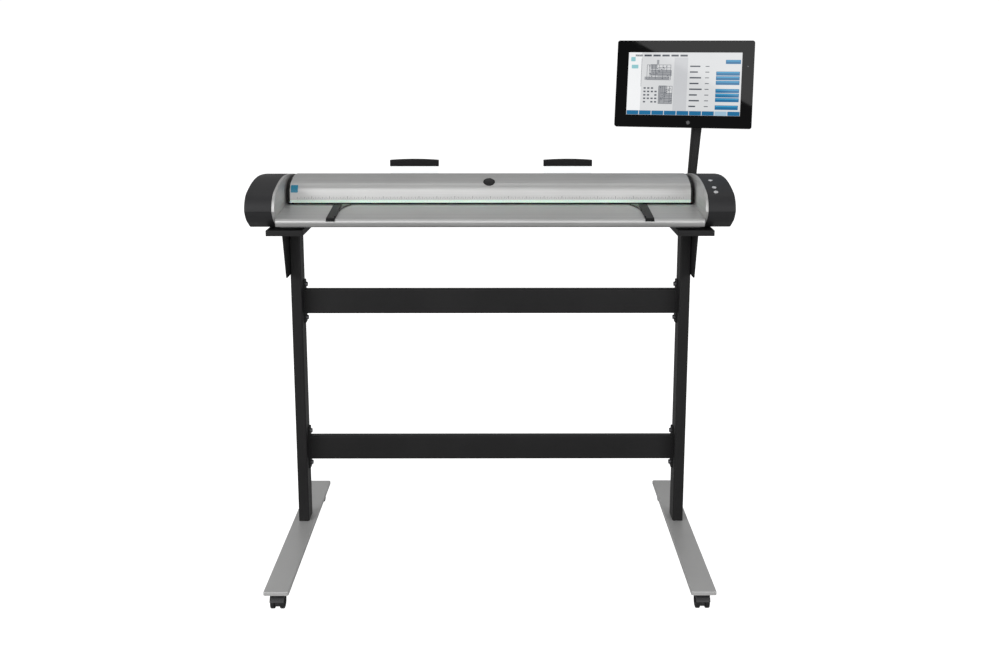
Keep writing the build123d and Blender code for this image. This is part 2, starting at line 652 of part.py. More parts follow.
def lid_frame():
    """Black inner frame: floor, end plates with the hinge bores, and ribs over the rollers."""
    floor = (LID_UNDER, LID_UNDER + 2)
    frame = block((-SKIN_HALF, SKIN_HALF), (25, LID_REAR - 12), floor)
    frame += block((-SKIN_HALF, SKIN_HALF), (25, 27), (LID_UNDER, 1018))
    frame += block((-SKIN_HALF, SKIN_HALF), (LID_REAR - 14, LID_REAR - 12), (LID_UNDER, 1032))
    for y in FEED_ROLLER_Y.values():
        frame -= block((-SKIN_HALF, SKIN_HALF), (y - 7.5, y + 7.5), (LID_UNDER - 1, floor[1] + 1))
    for i in range(6):
        x = (i - 2.5) * 218
        rib = block((x - 2, x + 2), (25, LID_REAR - 12), (floor[1] - 2, 1018))
        for y in FEED_ROLLER_Y.values():
            rib -= rod_x(8, (x - 3, x + 3), y, PINCH_Z)
            rib -= block((x - 3, x + 3), (y - 8, y + 8), (LID_UNDER - 1, PINCH_Z))
        frame += rib
    profile = offset(lid_outline(), amount=-3.5)
    profile += rect((21.5, LID_REAR - 6), (LID_UNDER, LID_UNDER + 6))
    end = slab(profile, (SKIN_HALF, LID_HALF))
    for y in FEED_ROLLER_Y.values():
        end -= rod_x(PINCH_SHAFT + RUNNING, (SKIN_HALF, LID_HALF), y, PINCH_Z)
    end -= rod_x(HINGE_PIN + RUNNING, (SKIN_HALF, LID_HALF), HINGE_Y, HINGE_Z)
    return frame + end + mirrored(end)


def background_plate():
    """White plate that the document is scanned against."""
    return block((-556, 556), (48, 102), (PAPER_Z + 1.6, LID_UNDER))


def lid_light_strip():
    """Translucent strip along the lid's front lower edge."""
    return block((-SKIN_HALF, SKIN_HALF), (18, 23), (LID_UNDER - 0.5, LID_UNDER + LIGHT_STRIP))


def lid_hinge_pins():
    pin = rod_x(HINGE_PIN, (SKIN_HALF, FRAME_HALF + SIDE_WEB), HINGE_Y, HINGE_Z)
    return [pin, mirrored(pin)]


# ---------------------------------------------------------------- document guides

EDGE_GUIDE_X = 426.0
EDGE_GUIDE_WIDTH = 24.0


def right_edge_guide():
    """Curved strip that hugs the table and its lip, with a low fence along its inner edge."""
    inner = EDGE_GUIDE_X - EDGE_GUIDE_WIDTH / 2
    strip = over_table(SLIDING, 2.6) & rect((-150, 14), (974, 1005))
    fence = over_table(SLIDING, 5.4) & rect((-120, 13), (975, 1005))
    return slab(strip, (inner, inner + EDGE_GUIDE_WIDTH)) + slab(fence, (inner, inner + 3))


def right_return_guide():
    """Clear curved plate that turns the sheet upwards behind the scanner."""
    y, z = RETURN_HINGE
    x = (RETURN_GUIDES_X[0] + 0.5, RETURN_GUIDES_X[1] - 0.5)
    curve = fold(((y, z), (y + 58, z + 6), (y + 58, 1066)), 42, -1.2, 1.2)
    plate = slab(curve, x) + rod_x(4, x, y, z)
    for edge in RETURN_GUIDES_X:
        plate += rod_x(RETURN_PIN, (edge - 4, edge + 4), y, z)
    return plate


def right_return_bar():
    """Bar with a gently arched top along the upper edge of a return guide."""
    low, high = RETURN_GUIDES_X
    front = make_face(
        ThreePointArc((low, 1085), ((low + high) / 2, 1088), (high, 1085))
        + Polyline((high, 1085), (high, 1066), (low, 1066), (low, 1085))
    )
    bar = Pos(0, 357, 0) * extrude(Plane.XZ * front, 19)
    return fillet(bar.edges().filter_by(Axis.X), 4)


# ---------------------------------------------------------------- screen

ARM_Z = (937.0, BRACKET_UNDER)
POST_TOP = 1284.0
POST_Y = (388.0, 418.0)
POST_FOOT_X = (615.5, 639.0)
POST_HEAD_X = (634.0, 666.0)
PIVOT = Vector((POST_HEAD_X[0] + POST_HEAD_X[1]) / 2, sum(POST_Y) / 2, 1305.5)
PIVOT_TO_BACK = 26.0        # tilt axis to the back of the screen housing
HOUSING_BACK = 34.0
SCREEN_OFFSET = Vector(-46.0, -(PIVOT_TO_BACK + HOUSING_BACK), 0.0)
YAWED = Pos(PIVOT) * Rot(0, 0, SCREEN_YAW)
TILTED = YAWED * Rot(SCREEN_TILT, 0, 0)
SCREEN = TILTED * Pos(SCREEN_OFFSET)
HOME_X, HOME_Z = 18.0, -119.0
HEAD_RADIUS = 17.0
TILT_PIN = 3.0
EAR_IN = 12.0


def monitor_post():
    """Arm that bolts under the right bracket, and the leaning tapered post on it."""
    arm = extrude(
        Plane.XY.offset(ARM_Z[0]) * make_face(
            FilletPolyline(
                (545, 200), (598, 200), (598, 300), (640, 362), (640, POST_Y[1]), (612, POST_Y[1]),
                (545, 330), radius=6, close=True,
            )
        ),
        ARM_Z[1] - ARM_Z[0],
    )
    for x, y in ARM_SCREWS:
        arm -= rod_z(M6, x, y, ARM_Z)
    front = make_face(
        Polyline(
            (POST_FOOT_X[0], ARM_Z[1]), (POST_FOOT_X[1], ARM_Z[1]),
            (POST_HEAD_X[1], POST_TOP), (POST_HEAD_X[0], POST_TOP), (POST_FOOT_X[0], ARM_Z[1]),
        )
    )
    post = Pos(0, POST_Y[1], 0) * extrude(Plane.XZ * front, POST_Y[1] - POST_Y[0])
    upright = [e for e in post.edges() if e.length > 300]
    post = chamfer(upright, 6)
    post -= rod_z(6 + RUNNING, PIVOT.X, PIVOT.Y, (POST_TOP - 20, POST_TOP))
    return arm + post


def swivel_head():
    """Turning head with two ears and the tilt pin; its spigot drops in the post."""
    low = POST_TOP - PIVOT.Z + 0.2
    head = rod_z(HEAD_RADIUS, 0, 0, (low, low + 8))
    head += rod_z(6, 0, 0, (low - 19, low))
    for side in (-1, 1):
        x = sorted((side * EAR_IN, side * (EAR_IN + 4.5)))
        ear = slab(Circle(9.5) + rect((-9.5, 9.5), (low + 5, 0)), x)
        head += ear
    head -= rod_x(TILT_PIN, (-20, 20), 0, 0)
    pin = rod_x(TILT_PIN, (-EAR_IN - 6, EAR_IN + 6), 0, 0)
    pin += rod_x(5, (-EAR_IN - 8, -EAR_IN - 4.5), 0, 0) + rod_x(5, (EAR_IN + 4.5, EAR_IN + 8), 0, 0)
    return [YAWED * head, YAWED * pin]


def tilt_bracket():
    """Plate on the back of the screen with a knuckle on the tilt pin."""
    plate = block((-90, 15), (-PIVOT_TO_BACK, -PIVOT_TO_BACK + 2.5), (-45, 45))
    plate = fillet(plate.edges().filter_by(Axis.Y), 6)
    plate += block((-10, 10), (-PIVOT_TO_BACK, 0), (-8, 8))
    plate += rod_x(8.5, (-EAR_IN + 0.5, EAR_IN - 0.5), 0, 0)
    plate -= rod_x(TILT_PIN + RUNNING, (-20, 20), 0, 0)
    return TILTED * plate


def monitor_glass():
    """Front glass, edge to edge, with a hole for the home key."""
    pane = block((-SCREEN_WIDTH / 2, SCREEN_WIDTH / 2), (0, 3), (-SCREEN_HEIGHT / 2, SCREEN_HEIGHT / 2))
    pane = fillet(pane.edges().filter_by(Axis.Y), 7)
    pane = chamfer(pane.faces().sort_by(Axis.Y)[0].edges(), 0.6)
    return SCREEN * (pane - rod_y(5.2, HOME_X, (-1, 4), HOME_Z))


def lcd_panel():
    half_x, half_z = ACTIVE_WIDTH / 2 + 6, ACTIVE_HEIGHT / 2 + 6
    return SCREEN * block((-half_x, half_x), (3, 10), (-half_z, half_z))


def monitor_housing():
    """Rear shell: a shallow tray with a raised box for the computer."""
    half_x, half_z = SCREEN_WIDTH / 2, SCREEN_HEIGHT / 2
    tray = block((-half_x, half_x), (3, 16), (-half_z, half_z))
    tray = fillet(tray.edges().filter_by(Axis.Y), 7)
    tray = fillet(tray.faces().sort_by(Axis.Y)[-1].edges(), 4)
    bump = block((-150, 150), (14, HOUSING_BACK), (-98, 70))
    bump = fillet(bump.edges().filter_by(Axis.Y), 12)
    bump = chamfer(bump.faces().sort_by(Axis.Y)[-1].edges(), 8)
    shell = tray + bump
    shell -= block((-half_x + 3, half_x - 3), (2, 13), (-half_z + 3, half_z - 3))
    shell -= block((-140, 140), (12, HOUSING_BACK - 9), (-88, 60))
    for i in range(22):
        x = -105 + 10 * i
        shell -= block((x - 2, x + 2), (18, 24), (55, 72))
    return SCREEN * shell


def home_button():
    key = rod_y(5.0, HOME_X, (-0.4, 3), HOME_Z) + rod_y(7.0, HOME_X, (3.1, 4.5), HOME_Z)
    key += rod_y(5.0, HOME_X, (2.5, 3.5), HOME_Z)
    return SCREEN * key


# ---------------------------------------------------------------- write the parts


def all_parts():
    """Every node of the assembly, by name."""
    parts = {
        "right_foot": right_foot(),
        "right_upright": right_upright(),
        "right_top_bracket": right_top_bracket(),
        "right_side_frame": right_side_frame(),
        "right_edge_guide": right_edge_guide(),
        "right_return_guide": right_return_guide(),
        "right_return_bar": right_return_bar(),
    }
    for name in list(parts):
        parts[name.replace("right_", "left_", 1)] = mirrored(parts[name])
    for name, level in BEAM_LEVELS.items():
        parts[name] = beam(level)
    for place, (x, y, trail) in CASTERS.items():
        parts["caster_hood_" + place] = Pos(x, y, 0) * caster_hood(trail)
        parts["caster_wheels_" + place] = [Pos(x, y, 0) * solid for solid in caster_wheels(trail)]
    for row, y in FEED_ROLLER_Y.items():
        parts[row + "_feed_roller"] = feed_roller(y)
        parts[row + "_pinch_roller"] = pinch_roller(y)
    for name, y in BUTTONS.items():
        parts[name] = panel_button(y)
    parts["left_end_cap"] = mirrored(end_cap())
    singles = (
        beam_end_plates, stand_bolts, base_chassis, infeed_table, rear_cover, right_end_cap,
        scan_glass, cis_modules, feed_motor, motor_pulley, drive_belt, main_board, power_supply,
        data_ports, power_inlet, power_rocker, lid_shell, lid_frame, background_plate,
        lid_light_strip, lid_hinge_pins, monitor_post, swivel_head, tilt_bracket, monitor_glass,
        lcd_panel, monitor_housing, home_button,
    )
    for make in singles:
        parts[make.__name__] = make()
    return parts


def main():
    os.makedirs("parts", exist_ok=True)
    for name, shape in all_parts().items():
        solids = shape if isinstance(shape, list) else [shape]
        bodies = [solid for item in solids for solid in item.solids()]
        export_step(Compound(children=bodies) if len(bodies) > 1 else bodies[0], f"parts/{name}.step")


main()
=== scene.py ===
"""Looks of the sheet-fed scanner: finishes for the CAD nodes, small surface pieces, floor, lights, camera.

Metres, in the frame of the CAD model: +X to the right, +Y to the rear, +Z up.
"""
import json
from math import cos, pi, radians, sin

import bpy
from mathutils import Matrix, Quaternion, Vector


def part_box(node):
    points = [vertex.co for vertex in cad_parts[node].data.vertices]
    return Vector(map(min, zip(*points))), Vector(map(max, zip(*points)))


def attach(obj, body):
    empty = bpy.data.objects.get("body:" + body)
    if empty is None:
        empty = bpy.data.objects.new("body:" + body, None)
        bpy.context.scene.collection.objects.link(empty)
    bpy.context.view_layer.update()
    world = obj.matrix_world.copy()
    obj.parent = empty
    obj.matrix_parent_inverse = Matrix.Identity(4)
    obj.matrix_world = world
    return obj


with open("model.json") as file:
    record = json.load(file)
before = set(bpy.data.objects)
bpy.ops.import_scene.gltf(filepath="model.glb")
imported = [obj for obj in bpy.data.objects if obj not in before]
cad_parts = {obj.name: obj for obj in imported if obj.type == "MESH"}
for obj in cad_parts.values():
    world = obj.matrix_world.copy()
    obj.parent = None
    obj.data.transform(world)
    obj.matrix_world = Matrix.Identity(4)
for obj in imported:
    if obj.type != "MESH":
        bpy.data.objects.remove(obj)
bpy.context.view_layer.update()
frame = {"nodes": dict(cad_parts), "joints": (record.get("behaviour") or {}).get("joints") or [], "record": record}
RIGHT = Vector((1, 0, 0))
BACK = Vector((0, 1, 0))
UP = Vector((0, 0, 1))


# ---------------------------------------------------------------- finishes


class Look:
    """A material being made: its shader, and shorthand for the nodes that the finishes share."""

    def __init__(self, name, colour=(0.5, 0.5, 0.5), roughness=0.5, **shader):
        self.name = name
        self.material = bpy.data.materials.new("look_" + name)
        self.material.use_nodes = True
        self.nodes = self.material.node_tree.nodes
        self.links = self.material.node_tree.links
        self.shader = self.nodes["Principled BSDF"]
        self.place = self.nodes.new("ShaderNodeTexCoord").outputs["Object"]
        self.set("Base Color", (*colour, 1))
        self.set("Roughness", roughness)
        for key, value in shader.items():
            self.set(key.replace("_", " "), value)

    def join(self, socket, value):
        if isinstance(value, bpy.types.NodeSocket):
            self.links.new(value, socket)
        else:
            socket.default_value = value

    def set(self, name, value):
        self.join(self.shader.inputs[name], value)

    def node(self, kind, inputs, **settings):
        """A new node; its inputs are numbers or other nodes' outputs."""
        made = self.nodes.new("ShaderNode" + kind)
        for name, value in settings.items():
            setattr(made, name, value)
        for key, value in inputs.items():
            self.join(made.inputs[key], value)
        return made

    def stretched(self, scale):
        """The place on the object, times a scale for each axis."""
        return self.node("VectorMath", {0: self.place, 1: scale}, operation="MULTIPLY").outputs[0]

    def noise(self, scale, detail=3.0):
        inputs = {"Vector": self.stretched(scale), "Scale": 1.0, "Detail": detail}
        return self.node("TexNoise", inputs).outputs[0]

    def span(self, value, low, high, start=0.35, end=0.65):
        """A number that goes from low to high as value goes from start to end."""
        limits = {"Value": value, "From Min": start, "From Max": end, "To Min": low, "To Max": high}
        return self.node("MapRange", limits).outputs[0]

    def sum(self, a, b, operation="ADD"):
        return self.node("Math", {0: a, 1: b}, operation=operation).outputs[0]

    def tint(self, factor, dark, light):
        """A colour that goes from dark to light."""
        made = self.node("Mix", {0: factor, 6: (*dark, 1), 7: (*light, 1)}, data_type="RGBA")
        return made.outputs[2]

    def relief(self, height, depth):
        """Bump of a real depth in metres."""
        bump = self.node("Bump", {"Height": height, "Distance": depth, "Strength": 1.0})
        self.set("Normal", bump.outputs[0])


def scaled(colour, factor):
    return tuple(min(1.0, channel * factor) for channel in colour)


def grained(name, colour, roughness, patch=0.06, streak=0.06, grain=(900, 900, 900), depth=0.00002, **shader):
    """A finish with faint large patches, and a fine grain in its colour, roughness and relief."""
    look = Look(name, colour, roughness, **shader)
    patches = look.span(look.noise((7, 7, 7)), -patch, patch)
    fine = look.noise(grain)
    lines = look.span(fine, -streak, streak)
    most = patch + streak
    factor = look.span(look.sum(patches, lines), 0, 1, -most, most)
    look.set("Base Color", look.tint(factor, scaled(colour, 1 - most), scaled(colour, 1 + most)))
    look.set("Roughness", look.span(fine, roughness * 0.85, roughness * 1.15))
    look.relief(fine, depth)
    return look


def brushed(name, colour, roughness, along, **shader):
    """Metal brushed along one axis: hair lines over broader, fainter bands."""
    hair = [700.0, 700.0, 700.0]
    hair[along] = 3.0
    look = grained(name, colour, roughness, 0.02, 0.05, hair, 0.0000012, Metallic=1.0, **shader)
    bands = [160.0, 160.0, 160.0]
    bands[along] = 0.8
    base = look.shader.inputs["Base Color"].links[0].from_socket
    band = look.span(look.noise(bands, 2.0), 0.97, 1.03)
    banded = look.node("VectorMath", {0: base, "Scale": band}, operation="SCALE").outputs[0]
    look.set("Base Color", banded)
    return look


def galvanised(name, colour, roughness):
    """Zinc-plated sheet with a faint spangle."""
    look = grained(name, colour, roughness, 0.05, 0.04, Metallic=0.85)
    cells = look.node("TexVoronoi", {"Vector": look.stretched((60, 60, 60)), "Scale": 1.0})
    spangle = look.span(cells.outputs["Color"], 0.0, 1.0, 0.1, 0.9)
    look.set("Base Color", look.tint(spangle, scaled(colour, 0.9), scaled(colour, 1.08)))
    return look


def clear(name, colour, roughness, ior, haze):
    """See-through plastic or glass with a little haze and faint scuffs."""
    look = Look(name, colour, roughness, IOR=ior, Transmission_Weight=1.0)
    scuffs = look.noise((260, 260, 260), 4.0)
    look.set("Roughness", look.span(scuffs, roughness, roughness + haze))
    look.set("Base Color", look.tint(look.span(scuffs, 0, 1), scaled(colour, 0.96), colour))
    look.relief(scuffs, 0.000004)
    return look


BANDS_PER_METRE = 3.18  # of a wave texture at scale 1


def ribbed(name, colour, roughness, axis, pitch, depth):
    """Rubber with fine ribs that repeat along one axis."""
    look = grained(name, colour, roughness, 0.08, 0.08, depth=0.00003)
    scale = 1 / pitch / BANDS_PER_METRE
    wave = look.node("TexWave", {"Vector": look.place, "Scale": scale}, bands_direction=axis)
    look.relief(wave.outputs["Fac"], depth)
    return look


def circuit(name, colour):
    """Solder mask with copper tracks and small pads."""
    look = grained(name, colour, 0.35, 0.05, 0.05)
    black, white = (0, 0, 0, 1), (1, 1, 1, 1)
    inputs = {"Vector": look.stretched((1, 1, 0)), "Scale": 90.0, "Mortar Size": 0.03}
    inputs.update({"Color1": black, "Color2": black, "Mortar": white})
    tracks = look.node("TexBrick", inputs)
    track_green = (0.10, 0.36, 0.16)
    look.set("Base Color", look.tint(tracks.outputs["Fac"], colour, track_green))
    return look


def lit(name, colour, strength=1.0):
    """Part of the picture on the screen: light through a faint pixel grid, under the glass."""
    look = Look(name, (0.002, 0.002, 0.002), 0.06, Specular_IOR_Level=0.2)
    grid = look.node("TexChecker", {"Vector": look.stretched((2200, 2200, 2200)), "Scale": 1.0})
    backlight = look.span(look.noise((5, 5, 5)), 0.0, 1.0)
    glow = look.tint(backlight, scaled(colour, 0.95), colour)
    look.set("Emission Color", glow)
    look.set("Emission Strength", look.span(grid.outputs["Fac"], strength * 0.94, strength, 0, 1))
    return look


LOOKS = {}


def keep(look):
    LOOKS[look.name] = look.material


keep(grained("stand_black", (0.0150, 0.0148, 0.0152), 0.44, 0.10, 0.10, (700,) * 3, 0.00005,
             Specular_IOR_Level=0.2))
keep(grained("foot_silver", (0.55, 0.55, 0.545), 0.40, 0.03, 0.05, (1400,) * 3, 0.00002, Metallic=0.35))
keep(brushed("brushed_silver", (0.60, 0.60, 0.595), 0.52, 0))
keep(brushed("frame_silver", (0.58, 0.58, 0.575), 0.55, 1))
keep(grained("charcoal_plastic", (0.021, 0.021, 0.0225), 0.50, 0.05, 0.10, (1100,) * 3, 0.00005,
             Specular_IOR_Level=0.3))
keep(grained("black_plastic", (0.006, 0.006, 0.0065), 0.42, 0.08, 0.08, (900,) * 3, 0.00003,
             Specular_IOR_Level=0.2))
keep(grained("gloss_black", (0.007, 0.007, 0.008), 0.16, 0.05, 0.05, (300,) * 3, 0.000004,
             Specular_IOR_Level=0.25))
keep(grained("bolt_steel", (0.20, 0.20, 0.21), 0.34, 0.08, 0.10, (1500,) * 3, 0.00001, Metallic=0.9))
keep(brushed("steel", (0.55, 0.55, 0.56), 0.24, 0))
keep(ribbed("roller_rubber", (0.035, 0.035, 0.037), 0.68, "X", 0.002, 0.0002))
keep(grained("caster_grey", (0.035, 0.035, 0.037), 0.30, 0.06, 0.06, (800,) * 3, 0.00001))
keep(grained("caster_wheel", (0.011, 0.011, 0.012), 0.42, 0.10, 0.12, (500,) * 3, 0.00004))
keep(galvanised("zinc_sheet", (0.42, 0.43, 0.44), 0.42))
keep(clear("scan_glass", (0.93, 0.98, 0.95), 0.01, 1.52, 0.03))
keep(clear("clear_plastic", (0.90, 0.915, 0.92), 0.06, 1.49, 0.06))
keep(grained("smoked_plastic", (0.030, 0.026, 0.022), 0.22, 0.05, 0.05, (300,) * 3, 0.000006,
             Specular_IOR_Level=0.4))
keep(grained("white_plate", (0.80, 0.81, 0.80), 0.34, 0.02, 0.02, (600,) * 3, 0.00001))
keep(circuit("circuit_green", (0.012, 0.11, 0.045)))
keep(ribbed("belt_rubber", (0.018, 0.018, 0.018), 0.7, "Y", 0.003, 0.0004))
keep(grained("screen_glass", (0.0012, 0.0012, 0.0014), 0.03, 0.05, 0.05, (60,) * 3, 0.0000003,
             Specular_IOR_Level=0.10))
keep(grained("lcd", (0.03, 0.03, 0.035), 0.3, 0.04, 0.04))
keep(grained("home_key", (0.05, 0.05, 0.052), 0.3, 0.03, 0.04, (700,) * 3, 0.00001))
keep(grained("key_grey", (0.62, 0.62, 0.63), 0.28, 0.03, 0.04, (700,) * 3, 0.00001, Metallic=0.3))
keep(grained("ink", (0.05, 0.05, 0.055), 0.5, 0.10, 0.10, (900,) * 3, 0.00001))
keep(grained("label_blue", (0.010, 0.21, 0.34), 0.30, 0.04, 0.05, (500,) * 3, 0.00001, Coat_Weight=0.5))
keep(grained("contact_gold", (0.80, 0.58, 0.22), 0.28, 0.04, 0.06, Metallic=1.0))

strip = grained("light_strip", (0.66, 0.80, 0.70), 0.30, 0.04, 0.05, (240, 500, 500), 0.00002,
                Subsurface_Weight=0.3, Subsurface_Scale=0.004)
strip.set("Emission Color", (0.36, 0.60, 0.44, 1))
strip.set("Emission Strength", 0.05)
keep(strip)

look_of = {entry["node"]: entry["material_slot"] for entry in frame["record"]["subparts"]}
look_of["home_button"] = "home_key"
for node, obj in frame["nodes"].items():
    for index in range(len(obj.material_slots)):
        obj.material_slots[index].material = LOOKS[look_of[node]]


# ---------------------------------------------------------------- small pieces


class Shape:
    """Vertices and faces collected for one piece."""

    def __init__(self):
        self.vertices = []
        self.faces = []

    def loft(self, rings):
        """Closed solid through rings of equal count, anticlockwise seen from the last one."""
        start, count = len(self.vertices), len(rings[0])
        for ring in rings:
            self.vertices += [Vector(point) for point in ring]
        for level in range(len(rings) - 1):
            low = start + level * count
            for i in range(count):
                after = (i + 1) % count
                self.faces.append((low + i, low + after, low + count + after, low + count + i))
        top = start + (len(rings) - 1) * count
        self.faces.append(tuple(start + i for i in reversed(range(count))))
        self.faces.append(tuple(top + i for i in range(count)))

    def piece(self, name, body, slot, look=None, smooth=False, place=None):
        """The finished piece, riding on a body."""
        mesh = bpy.data.meshes.new(name)
        points = [place @ point for point in self.vertices] if place else self.vertices
        mesh.from_pydata(points, [], self.faces)
        mesh.materials.append(LOOKS[look or slot])
        mesh.update()
        obj = bpy.data.objects.new(name, mesh)
        bpy.context.scene.collection.objects.link(obj)
        if smooth:
            mesh.shade_smooth()
            mesh.set_sharp_from_angle(angle=radians(35))
        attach(obj, body)
        return obj


CLEAR_OF = 0.1  # how far off a surface a line starts that is cast back onto it


def on_surface(node, start, direction):
    """The point where a line from a start meets a CAD node."""
    found, point, _, _ = frame["nodes"][node].ray_cast(start, direction)
    if not found:
        raise ValueError(f"no part of {node} lies that way from {start}")
    return point


def hug(shape, node, middle, across, upwards, outline, profile):
    """Thin closed piece on a CAD surface, through scaled copies of an outline, each at its own lift."""
    out = across.cross(upwards).normalized()
    rings = []
    for size, lift in profile:
        ring = []
        for u, v in outline:
            start = middle + across * (u * size) + upwards * (v * size) + out * CLEAR_OF
            ring.append(on_surface(node, start, -out) + out * lift)
        rings.append(ring)
    shape.loft(rings)


def circle(radius, count=48):
    return [(radius * cos(2 * pi * i / count), radius * sin(2 * pi * i / count)) for i in range(count)]


def soft_square(half, count=64, power=14):
    """Square outline with rounded corners."""
    outline = []
    for x, y in circle(1.0, count):
        reach = half / (abs(x) ** power + abs(y) ** power) ** (1 / power)
        outline.append((x * reach, y * reach))
    return outline


BADGE_RADIUS = 0.0165
BADGE_SLOPE = radians(30)


def badge():
    """Plain flat round badge on the front slope of the lid: a rim round a dark dished face."""
    upwards = Vector((0, cos(BADGE_SLOPE), sin(BADGE_SLOPE)))
    out = RIGHT.cross(upwards)
    middle = Vector((-0.004, 0.042, 1.056))
    heights = []
    for step in range(-5, 6):
        start = middle + upwards * (step * 0.003) + out * CLEAR_OF
        heights.append((on_surface("lid_shell", start, -out) - middle).dot(out))
    middle += out * max(heights)

    def disc(radius, lift):
        return [middle + RIGHT * u + upwards * v + out * lift for u, v in circle(radius, 64)]

    above = disc(BADGE_RADIUS, CLEAR_OF)
    foot = [on_surface("lid_shell", point, -out) - out * 0.0003 for point in above]
    rim, face = Shape(), Shape()
    rim_rings = ((BADGE_RADIUS, 0.0006), (0.0160, 0.0010), (0.0150, 0.0010), (0.0146, 0.0005))
    rim.loft([foot] + [disc(radius, lift) for radius, lift in rim_rings])
    face_rings = ((0.0144, 0.0006), (0.0141, 0.0011), (0.0120, 0.00105), (0.0020, 0.0009))
    face.loft([disc(radius, lift) for radius, lift in face_rings])
    rim.piece("badge_rim", "lid", "black_plastic", "gloss_black", smooth=True)
    face.piece("badge_face", "lid", "black_plastic", "gloss_black", smooth=True)


LABEL_HALF = 0.0100
LABEL_THICK = 0.00025


def lid_label():
    """Plain blue label near the left end of the lid's front."""
    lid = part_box("lid_shell")
    middle = Vector((lid[0].x + 0.0125, lid[0].y, 1.040))
    edge = [(1.0, -0.0001), (1.0, 0.0002)]
    top = [(size, LABEL_THICK) for size in (0.98, 0.7, 0.35, 0.05)]
    label = Shape()
    hug(label, "lid_shell", middle, RIGHT, UP, soft_square(LABEL_HALF), edge + top)
    label.piece("lid_label", "lid", "brushed_silver", "label_blue", smooth=True)


RULE_LOW = 1.0125
RULE_STEP = 0.005
RULE_COUNT = 216


def rule():
    """Rule marks along the lid's front edge, counted from its middle."""
    marks = Shape()
    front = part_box("lid_shell")[0].y - 0.05
    for i in range(-RULE_COUNT // 2, RULE_COUNT // 2 + 1):
        height = 0.0075 if i % 10 == 0 else 0.0055 if i % 2 == 0 else 0.0030
        half = 0.00045 if i % 10 == 0 else 0.0003
        x = i * RULE_STEP
        rings = []
        for lift in (0.0001, -0.00012):
            ring = []
            for dx, z in ((-half, 0), (half, 0), (half, height), (-half, height)):
                start = Vector((x + dx, front, RULE_LOW + z))
                ring.append(on_surface("lid_shell", start, BACK) + BACK * lift)
            rings.append(ring)
        marks.loft(rings)
    marks.piece("rule_marks", "lid", "brushed_silver", "ink")


WING_LENGTH = 0.065
WING_STEPS = 14


def guide_wing(side):
    """Smoked wedge on the inner side of an edge guide, under the mouth of the slot."""
    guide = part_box(f"{side}_edge_guide")
    sign = -1 if side == "left" else 1
    inner = (guide[0].x if sign > 0 else guide[1].x) + sign * 0.0006
    last = guide[1].y - 0.001
    wing = Shape()
    rings = []
    for i in range(WING_STEPS + 1):
        t = i / WING_STEPS
        y = last - WING_LENGTH * (1 - t)
        width = 0.003 + 0.023 * t * t
        low = on_surface("infeed_table", Vector((inner, y, guide[1].z + 0.05)), -UP).z + 0.0004
        thick = 0.0022 + 0.0012 * t
        ring = [(inner, y, low), (inner - sign * width, y, low), (inner - sign * width, y, low + thick * 0.6),
                (inner - sign * width * 0.7, y, low + thick), (inner, y, low + thick)]
        rings.append(ring if sign > 0 else ring[::-1])
    wing.loft(rings)
    wing.piece(f"{side}_guide_wing", f"{side}_guide", "black_plastic", "smoked_plastic")


def screw(shape, place, radius):
    """Button-head screw with a hexagonal socket; its axis is the place's Z axis."""
    count = 24
    profile = ((1.0, -0.1), (1.0, 0.25), (0.88, 0.52), (0.62, 0.68))
    rings = [[(x, y, level * radius) for x, y in circle(radius * size, count)] for size, level in profile]
    hexagon = []
    for i in range(count):
        angle = 2 * pi * i / count
        corner = (angle + pi / 6) % (pi / 3) - pi / 6
        reach = radius * 0.40 * cos(pi / 6) / cos(corner)
        hexagon.append((reach * cos(angle), reach * sin(angle)))
    rings += [[(x, y, level * radius) for x, y in hexagon] for level in (0.68, 0.25)]
    shape.loft([[place @ Vector(point) for point in ring] for ring in rings])


def facing(point, normal):
    """Frame at a point whose Z axis points along a normal."""
    turn = Vector(normal).to_track_quat("Z", "Y").to_matrix().to_4x4()
    return Matrix.Translation(point) @ turn


REAR_SCREW_COLUMNS = (-0.545, -0.300, -0.100, 0.345, 0.545)
REAR_SCREW_ROWS = (0.9555, 0.9825)


def rear_screws():
    """Fixing screws along the rear panel."""
    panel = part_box("rear_cover")
    heads = Shape()
    for x in REAR_SCREW_COLUMNS:
        for z in REAR_SCREW_ROWS:
            start = Vector((x, panel[1].y + CLEAR_OF, z))
            screw(heads, facing(on_surface("rear_cover", start, -BACK), BACK), 0.0030)
    heads.piece("rear_screws", "stand", "bolt_steel", smooth=True)


# ---------------------------------------------------------------- the screen

TILT = next(joint for joint in frame["joints"] if joint["name"] == "monitor_tilt")
ACTIVE = (0.3442, 0.1936)  # width and height of the lit picture
GLASS_WIDTH = 0.416
BRACKET_HALF = 0.0375  # from the bracket's middle to its screws
LAYER = 0.00004  # thickness of one layer of the picture


def screen_frame():
    """Frame on the front of the screen's glass: X to the right, Y upwards, Z outwards."""
    mesh = frame["nodes"]["monitor_glass"].data
    across = Vector(TILT["axis"]).normalized()
    if across.x < 0:
        across = -across
    largest = max(mesh.polygons, key=lambda face: face.area if face.normal.y < -0.5 else 0.0)
    out = largest.normal.normalized()
    upwards = out.cross(across).normalized()
    spans = []
    for axis in (across, upwards, out):
        reach = [axis.dot(vertex.co) for vertex in mesh.vertices]
        spans.append((min(reach), max(reach)))
    middle = across * (sum(spans[0]) / 2) + upwards * (sum(spans[1]) / 2) + out * spans[2][1]
    turn = Matrix((across, upwards, out)).transposed().to_4x4()
    return Matrix.Translation(middle) @ turn


SCREEN = screen_frame()


